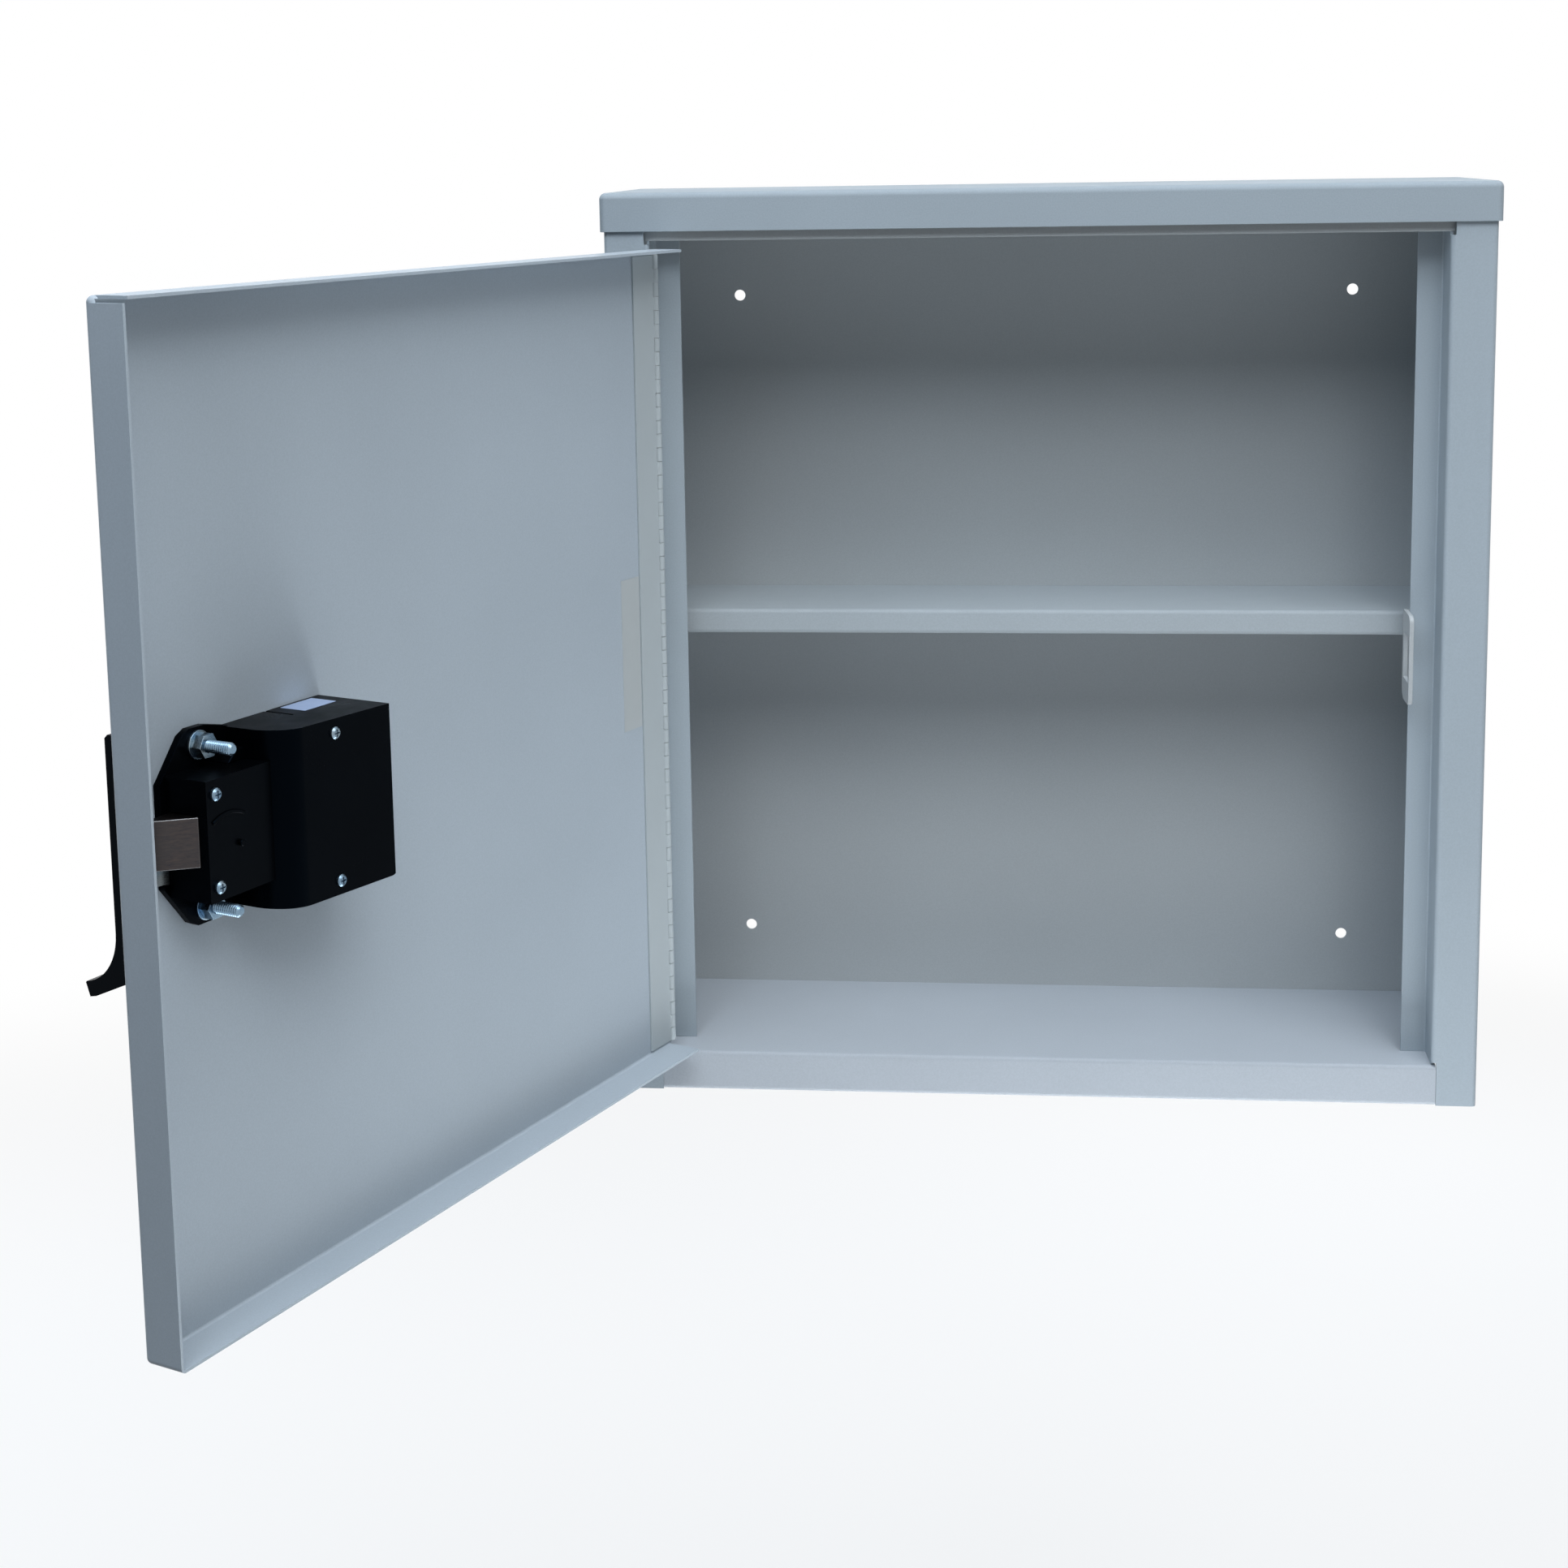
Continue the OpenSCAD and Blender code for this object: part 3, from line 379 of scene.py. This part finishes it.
# The material of each slot of the record.
make = {
    "body_steel": powder_coat("powder_coat_outer", OUTER),
    "inner_steel": powder_coat("powder_coat_inner", INNER),
    "hinge_steel": painted_hinge("painted_hinge", HINGE),
    "pin_steel": drawn_steel("drawn_steel"),
    "zinc": zinc_plate("zinc_plate"),
    "latch_steel": latch_steel("latch_steel"),
    "black_gloss": black_gloss("black_gloss"),
    "black_matte": black_matte("black_matte"),
    "gasket_foam": foam("gasket_foam"),
    "key_plastic": key_plastic("key_plastic"),
    "label": film("label_film", DOOR_LABEL),
    "lamp": lamp_red("lamp_red"),
    "cell_wrap": cell_wrap("cell_wrap"),
    "circuit_board": circuit_board("circuit_board"),
}
INK = number_ink("number_ink")
# Darker paint for the sides: painted shade.
SIDE_PAINT = powder_coat("powder_coat_side", PANEL)

# Nodes whose material differs from their slot's.
OWN = {
    "lock_label": film("lock_label_film", LOCK_LABEL),
    "plunger": zinc_plate("zinc_dark", 0.3),
    "cover_screws": zinc_plate("zinc_screws", 0.8),
    # The cap's paint is the side paint made darker still: painted shade.
    "cap": powder_coat("powder_coat_cap", scaled(PANEL, CAP_PAINTED_SHADE), CAP_GLOSS),
    "bottom_panel": powder_coat("powder_coat_bottom", FLOOR_PAN),
    "shelf": powder_coat("powder_coat_shelf", SHELF),
    "side_left": SIDE_PAINT,
    "side_right": SIDE_PAINT,
}

# Width in millimetres of the small edge rounding on each kind of node.
ROUNDING = {
    "body_steel": 0.2, "inner_steel": 0.2, "hinge_steel": 0.12, "zinc": 0.15, "latch_steel": 0.25,
    "black_gloss": 0.6, "black_matte": 0.2, "key_plastic": 0.8, "gasket_foam": 0.2,
}


def round_edges(piece, width_mm, segments=2):
    """Joins split vertices, rounds the sharp edges and smooths what is left."""
    weld = piece.modifiers.new("weld", "WELD")
    weld.merge_threshold = WELD_M
    flat = piece.modifiers.new("flat", "DECIMATE")
    flat.decimate_type = "DISSOLVE"
    flat.angle_limit = math.radians(FLAT_DEG)
    bevel = piece.modifiers.new("edge", "BEVEL")
    bevel.width = width_mm * MM
    bevel.segments = segments
    bevel.limit_method = "ANGLE"
    bevel.angle_limit = math.radians(CORNER_DEG)
    bevel.use_clamp_overlap = True
    smooth_by_angle(piece)
    weighted = piece.modifiers.new("weighted", "WEIGHTED_NORMAL")
    weighted.mode = "FACE_AREA"
    weighted.weight = 50
    weighted.keep_sharp = True


def smooth_by_angle(piece, degrees=SMOOTH_DEG):
    for polygon in piece.data.polygons:
        polygon.use_smooth = True
    piece.data.set_sharp_from_angle(angle=math.radians(degrees))


def dress_nodes():
    """Gives every CAD node its material and its edge rounding."""
    for part in frame["record"]["subparts"]:
        piece = nodes[part["node"]]
        slot = part["material_slot"]
        piece.data.materials.clear()
        piece.data.materials.append(OWN.get(part["node"]) or make[slot])
        if slot in ROUNDING:
            round_edges(piece, ROUNDING[slot])


def piece_from(name, mesh, slot, body, material=None):
    """A new piece with the slot's material, or another one, that rides on the body."""
    piece = bpy.data.objects.new(name, mesh)
    bpy.context.scene.collection.objects.link(piece)
    piece.data.materials.append(material or make[slot])
    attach(piece, body)
    return piece


def on_door(b, name):
    """Turns a bmesh in the door's millimetres into a mesh in the row frame."""
    mesh = bpy.data.meshes.new(name)
    b.transform(DOOR)
    b.normal_update()
    b.to_mesh(mesh)
    b.free()
    return mesh


def prism(b, outline, low, high):
    """Adds a solid with the given (u, z) outline that runs from v = low to v = high."""
    bottom = [b.verts.new((u, low, z)) for u, z in outline]
    top = [b.verts.new((u, high, z)) for u, z in outline]
    n = len(outline)
    b.faces.new(bottom[::-1])
    b.faces.new(top)
    for i in range(n):
        b.faces.new((bottom[i], bottom[(i + 1) % n], top[(i + 1) % n], top[i]))


def threaded_studs():
    """Two mounting studs with a real thread on the length that shows."""
    pitch, depth, crest = 1.0, 0.42, 1.25
    start_v, plain_v, tip_drop = -10.0, 5.0, 0.9
    around, step = 24, 0.125
    root = STUD_R - depth
    stations = [start_v, plain_v]
    while stations[-1] < STUD_TIP - step / 2:
        stations.append(min(STUD_TIP, stations[-1] + step))
    b = bmesh.new()
    for side in (-1, 1):
        z0 = LOCK_Z + side * STUD_HALF
        rings = []
        for v in stations:
            ring = []
            for i in range(around):
                turn = 2 * math.pi * i / around
                phase = (v / pitch - i / around) % 1.0
                ridge = max(0.0, 1.0 - abs(2 * phase - 1) * crest)
                radius = STUD_R if v <= plain_v else root + depth * min(1.0, ridge * crest)
                radius = min(radius, STUD_R - tip_drop + (STUD_TIP - v))
                ring.append(b.verts.new((STUD_U + radius * math.cos(turn), v,
                                         z0 + radius * math.sin(turn))))
            rings.append(ring)
        for a, c in zip(rings, rings[1:]):
            for i in range(around):
                j = (i + 1) % around
                b.faces.new((a[i], c[i], c[j], a[j]))
        b.faces.new(rings[0])
        b.faces.new(rings[-1][::-1])
    bmesh.ops.recalc_face_normals(b, faces=b.faces)
    piece = piece_from("threaded_studs", on_door(b, "threaded_studs"), "zinc", "door")
    smooth_by_angle(piece, THREAD_SMOOTH_DEG)
    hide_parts("studs")


def arc_points(centre, radius, start, stop, count):
    """Points on an arc, from start to stop degrees."""
    turns = [math.radians(start + (stop - start) * i / count) for i in range(count + 1)]
    return [(centre[0] + radius * math.cos(t), centre[1] + radius * math.sin(t)) for t in turns]


def circle_points(centre, radius, sides=24):
    return arc_points(centre, radius, 0, 360 * (sides - 1) / sides, sides - 1)


def solid_piece(b, name, rounding_mm):
    """A rounded black piece on the door from a bmesh in the door's millimetres."""
    bmesh.ops.recalc_face_normals(b, faces=b.faces)
    piece = piece_from(name, on_door(b, name), "black_gloss", "door")
    round_edges(piece, rounding_mm)


def nose_details():
    """Curved rib, stub and webs on the lock's nose."""
    rib_centre, rib_low, rib_high, rib_r, rib_inner_r = (326.0, LOCK_Z - 8.0), 60, 118, 17.5, 16.1
    rib_rise, rib_steps = 0.7, 10
    stub_centre, stub_r, stub_rise = (320.7, LOCK_Z - 3.6), 1.2, 1.6
    web_low, web_high, web_lap, web_foot, web_top, web_out = 4.2, 13.0, 1, 9, 4, 4.5
    b = bmesh.new()
    outer = arc_points(rib_centre, rib_r, rib_low, rib_high, rib_steps)
    inner = arc_points(rib_centre, rib_inner_r, rib_high, rib_low, rib_steps)
    prism(b, outer + inner, NOSE_V, NOSE_V + rib_rise)
    prism(b, circle_points(stub_centre, stub_r), NOSE_V, NOSE_V + stub_rise)
    solid_piece(b, "nose_rib", 0.3)
    b = bmesh.new()
    for side in (-1, 1):
        z = LOCK_Z + side * NOSE_HALF
        far = z + side * web_out
        prism(b, [(CASE_U1 - web_lap, z), (CASE_U1 + web_foot, z), (CASE_U1 + web_top, far),
                  (CASE_U1 - web_lap, far)], web_low, web_high)
    solid_piece(b, "nose_webs", 0.5)


def text_bmesh(name, sign):
    """A flat sign in its own XY plane, as a bmesh in millimetres."""
    curve = bpy.data.curves.new(name, "FONT")
    curve.body = sign
    curve.size = 6.2
    curve.extrude = 0.03
    curve.align_x = "CENTER"
    curve.align_y = "CENTER"
    text = bpy.data.objects.new(name + "_text", curve)
    bpy.context.scene.collection.objects.link(text)
    bpy.context.view_layer.update()
    shown = text.evaluated_get(bpy.context.evaluated_depsgraph_get())
    mesh = bpy.data.meshes.new_from_object(shown)
    bpy.data.objects.remove(text)
    b = bmesh.new()
    b.from_mesh(mesh)
    bpy.data.meshes.remove(mesh)
    return b


def key_numbers():
    """Plain numbers on the buttons, with a ring and a bar on the two lower corners."""
    signs = ["1", "2", "3", "4", "5", "6", "7", "8", "9", "ring", "0", "bar"]
    ring_r, ring_inner_r, bar_half_u, bar_half_z = 2.1, 1.5, 2.1, 0.45
    above, below, text_above = 0.04, 0.02, 0.01
    face = PULL_V - KEY_RISE
    low, high = face - above, face + below
    for i, sign in enumerate(signs):
        u = STUD_U + (i % 3 - 1) * KEY_PITCH_U
        z = KEY_MID_Z + (1.5 - i // 3) * KEY_PITCH_Z
        name = "number_%d" % (i + 1)
        if len(sign) == 1:
            b = text_bmesh(name, sign)
            # Seen from outside the door, +u runs to the right and +z runs up.
            b.transform(Matrix(((1, 0, 0, u), (0, 0, -1, face - text_above), (0, 1, 0, z),
                                (0, 0, 0, 1))))
        else:
            b = bmesh.new()
            if sign == "ring":
                ring, hole = circle_points((u, z), ring_r), circle_points((u, z), ring_inner_r)
                for a, c in zip(range(24), list(range(1, 24)) + [0]):
                    prism(b, [ring[a], ring[c], hole[c], hole[a]], low, high)
            else:
                prism(b, [(u - bar_half_u, z - bar_half_z), (u + bar_half_u, z - bar_half_z),
                          (u + bar_half_u, z + bar_half_z), (u - bar_half_u, z + bar_half_z)],
                      low, high)
            bmesh.ops.recalc_face_normals(b, faces=b.faces)
        piece_from(name, on_door(b, name), "key_plastic", "key_%d" % (i + 1), INK)


def lamp(name, azimuth, height, away, target, size, power, colour):
    """A soft rectangular lamp aimed at target; azimuth 0 is straight in front, 90 on the right."""
    side, rise = math.radians(azimuth), math.radians(height)
    towards = Vector((math.sin(side) * math.cos(rise), -math.cos(side) * math.cos(rise),
                      math.sin(rise)))
    place = Vector(target) + away * towards
    light = bpy.data.lights.new(name, "AREA")
    light.shape = "RECTANGLE"
    light.size, light.size_y = size
    light.energy = power
    light.color = colour
    source = bpy.data.objects.new(name, light)
    source.location = place
    source.rotation_euler = (Vector(target) - Vector(place)).to_track_quat("-Z", "Y").to_euler()
    source.visible_camera = False
    source.visible_glossy = abs(azimuth) < BEHIND
    bpy.context.scene.collection.objects.link(source)


def seen_rays(tree):
    """1 for camera, glossy and transmission rays, which show the white background."""
    path = tree.nodes.new("ShaderNodeLightPath")
    value = path.outputs["Is Camera Ray"]
    for name in ("Is Glossy Ray", "Is Transmission Ray"):
        either = add_node(tree, "ShaderNodeMath", operation="MAXIMUM")
        join(tree, (value, either.inputs[0]), (path.outputs[name], either.inputs[1]))
        value = either.outputs[0]
    return value


def make_world():
    """White for the rays that show the background, and a faint warm fill for the rest."""
    world = bpy.data.worlds.new("studio")
    bpy.context.scene.world = world
    world.use_nodes = True
    tree = world.node_tree
    base = tree.nodes["Background"]
    base.inputs["Color"].default_value = (1.0, 0.97, 0.92, 1)
    base.inputs["Strength"].default_value = 0.015
    white = tree.nodes.new("ShaderNodeBackground")
    white.inputs["Color"].default_value = (1, 1, 1, 1)
    white.inputs["Strength"].default_value = 1.0
    mix = tree.nodes.new("ShaderNodeMixShader")
    join(tree, (seen_rays(tree), mix.inputs["Fac"]), (base.outputs[0], mix.inputs[1]),
         (white.outputs[0], mix.inputs[2]),
         (mix.outputs[0], tree.nodes["World Output"].inputs["Surface"]))


def make_floor():
    """A pale floor well below the wall-hung cabinet."""
    mesh = bpy.data.meshes.new("floor")
    signs = ((-1, -1), (1, -1), (1, 1), (-1, 1))
    corners = [(x * FLOOR_REACH, y * FLOOR_REACH, 0) for x, y in signs]
    mesh.from_pydata(corners, [], [(0, 1, 2, 3)])
    floor = bpy.data.objects.new("floor", mesh)
    floor.location = (0, 0, FLOOR_Z)
    bpy.context.scene.collection.objects.link(floor)
    material = bpy.data.materials.new("pale_floor")
    material.use_nodes = True
    tree = material.node_tree
    bsdf = tree.nodes["Principled BSDF"]
    bsdf.inputs["Base Color"].default_value = (0.35, 0.355, 0.36, 1)
    bsdf.inputs["Roughness"].default_value = 0.9
    bsdf.inputs["Specular IOR Level"].default_value = 0.0
    # Far away the floor runs into the white background. Near the object it keeps the shadow.
    place = tree.nodes.new("ShaderNodeTexCoord")
    length = add_node(tree, "ShaderNodeVectorMath", operation="LENGTH")
    far = add_node(tree, "ShaderNodeMapRange", interpolation_type="SMOOTHSTEP")
    far.inputs["From Min"].default_value = FLOOR_NEAR
    far.inputs["From Max"].default_value = FLOOR_FAR
    seen = seen_rays(tree)
    share = add_node(tree, "ShaderNodeMath", operation="MULTIPLY")
    lift = add_node(tree, "ShaderNodeMath", operation="MULTIPLY")
    lift.inputs[1].default_value = FLOOR_LIFT
    glow = tree.nodes.new("ShaderNodeEmission")
    white = tree.nodes.new("ShaderNodeEmission")
    total = tree.nodes.new("ShaderNodeAddShader")
    mix = tree.nodes.new("ShaderNodeMixShader")
    join(tree, (place.outputs["Object"], length.inputs[0]),
         (length.outputs["Value"], far.inputs["Value"]), (far.outputs["Result"], share.inputs[0]),
         (seen, share.inputs[1]), (seen, lift.inputs[0]),
         (lift.outputs[0], glow.inputs["Strength"]),
         (bsdf.outputs[0], total.inputs[0]), (glow.outputs[0], total.inputs[1]),
         (share.outputs[0], mix.inputs["Fac"]), (total.outputs[0], mix.inputs[1]),
         (white.outputs[0], mix.inputs[2]),
         (mix.outputs[0], tree.nodes["Material Output"].inputs["Surface"]))
    floor.data.materials.append(material)


make_camera()
dress_nodes()
threaded_studs()
nose_details()
key_numbers()
make_world()
make_floor()

# Lamp targets in metres, lamp colours, and the azimuth past which a lamp hides from glossy rays.
MIDDLE = (0, -0.1, 0)
LOW = (0.05, -0.12, -0.1)
COOL = (0.93, 0.965, 1.0)
BLUE = (0.72, 0.85, 1.0)
BEHIND = 100
AWAY = 2.2

# Name, azimuth and height in degrees, size in metres, watts, colour.
LAMPS = [
    ("overhead", 0, 85, (1.2, 1.0), 12, COOL),
    ("top", 0, 72, (1.2, 1.0), 9, COOL),
    ("front", 0, 50, (1.2, 1.0), 17, COOL),
    ("right", 35, 52, (1.2, 1.0), 17, COOL),
    ("far_right", 60, 38, (1.2, 1.2), 4.5, COOL),
    ("side", 90, 10, (1.2, 1.0), 3.5, COOL),
    ("left", -35, 45, (1.2, 1.0), 10.5, BLUE),
    ("left_top", -40, 65, (1.2, 1.0), 3, BLUE),
    ("rear_left", -125, 8, (1.4, 1.4), 22, COOL),
    ("rear", 165, 8, (1.4, 1.4), 22, COOL),
]
for name, azimuth, height, size, power, colour in LAMPS:
    lamp(name, azimuth, height, AWAY, MIDDLE, size, power, colour)
# Two small cards close below the front stand for the light that a floor throws up.
lamp("card_right", 30, -35, 0.6, LOW, (0.6, 0.3), 0.8, COOL)
lamp("card_below", 0, -75, 0.5, LOW, (0.5, 0.3), 2.7, COOL)
bpy.context.scene.view_settings.view_transform = "Standard"
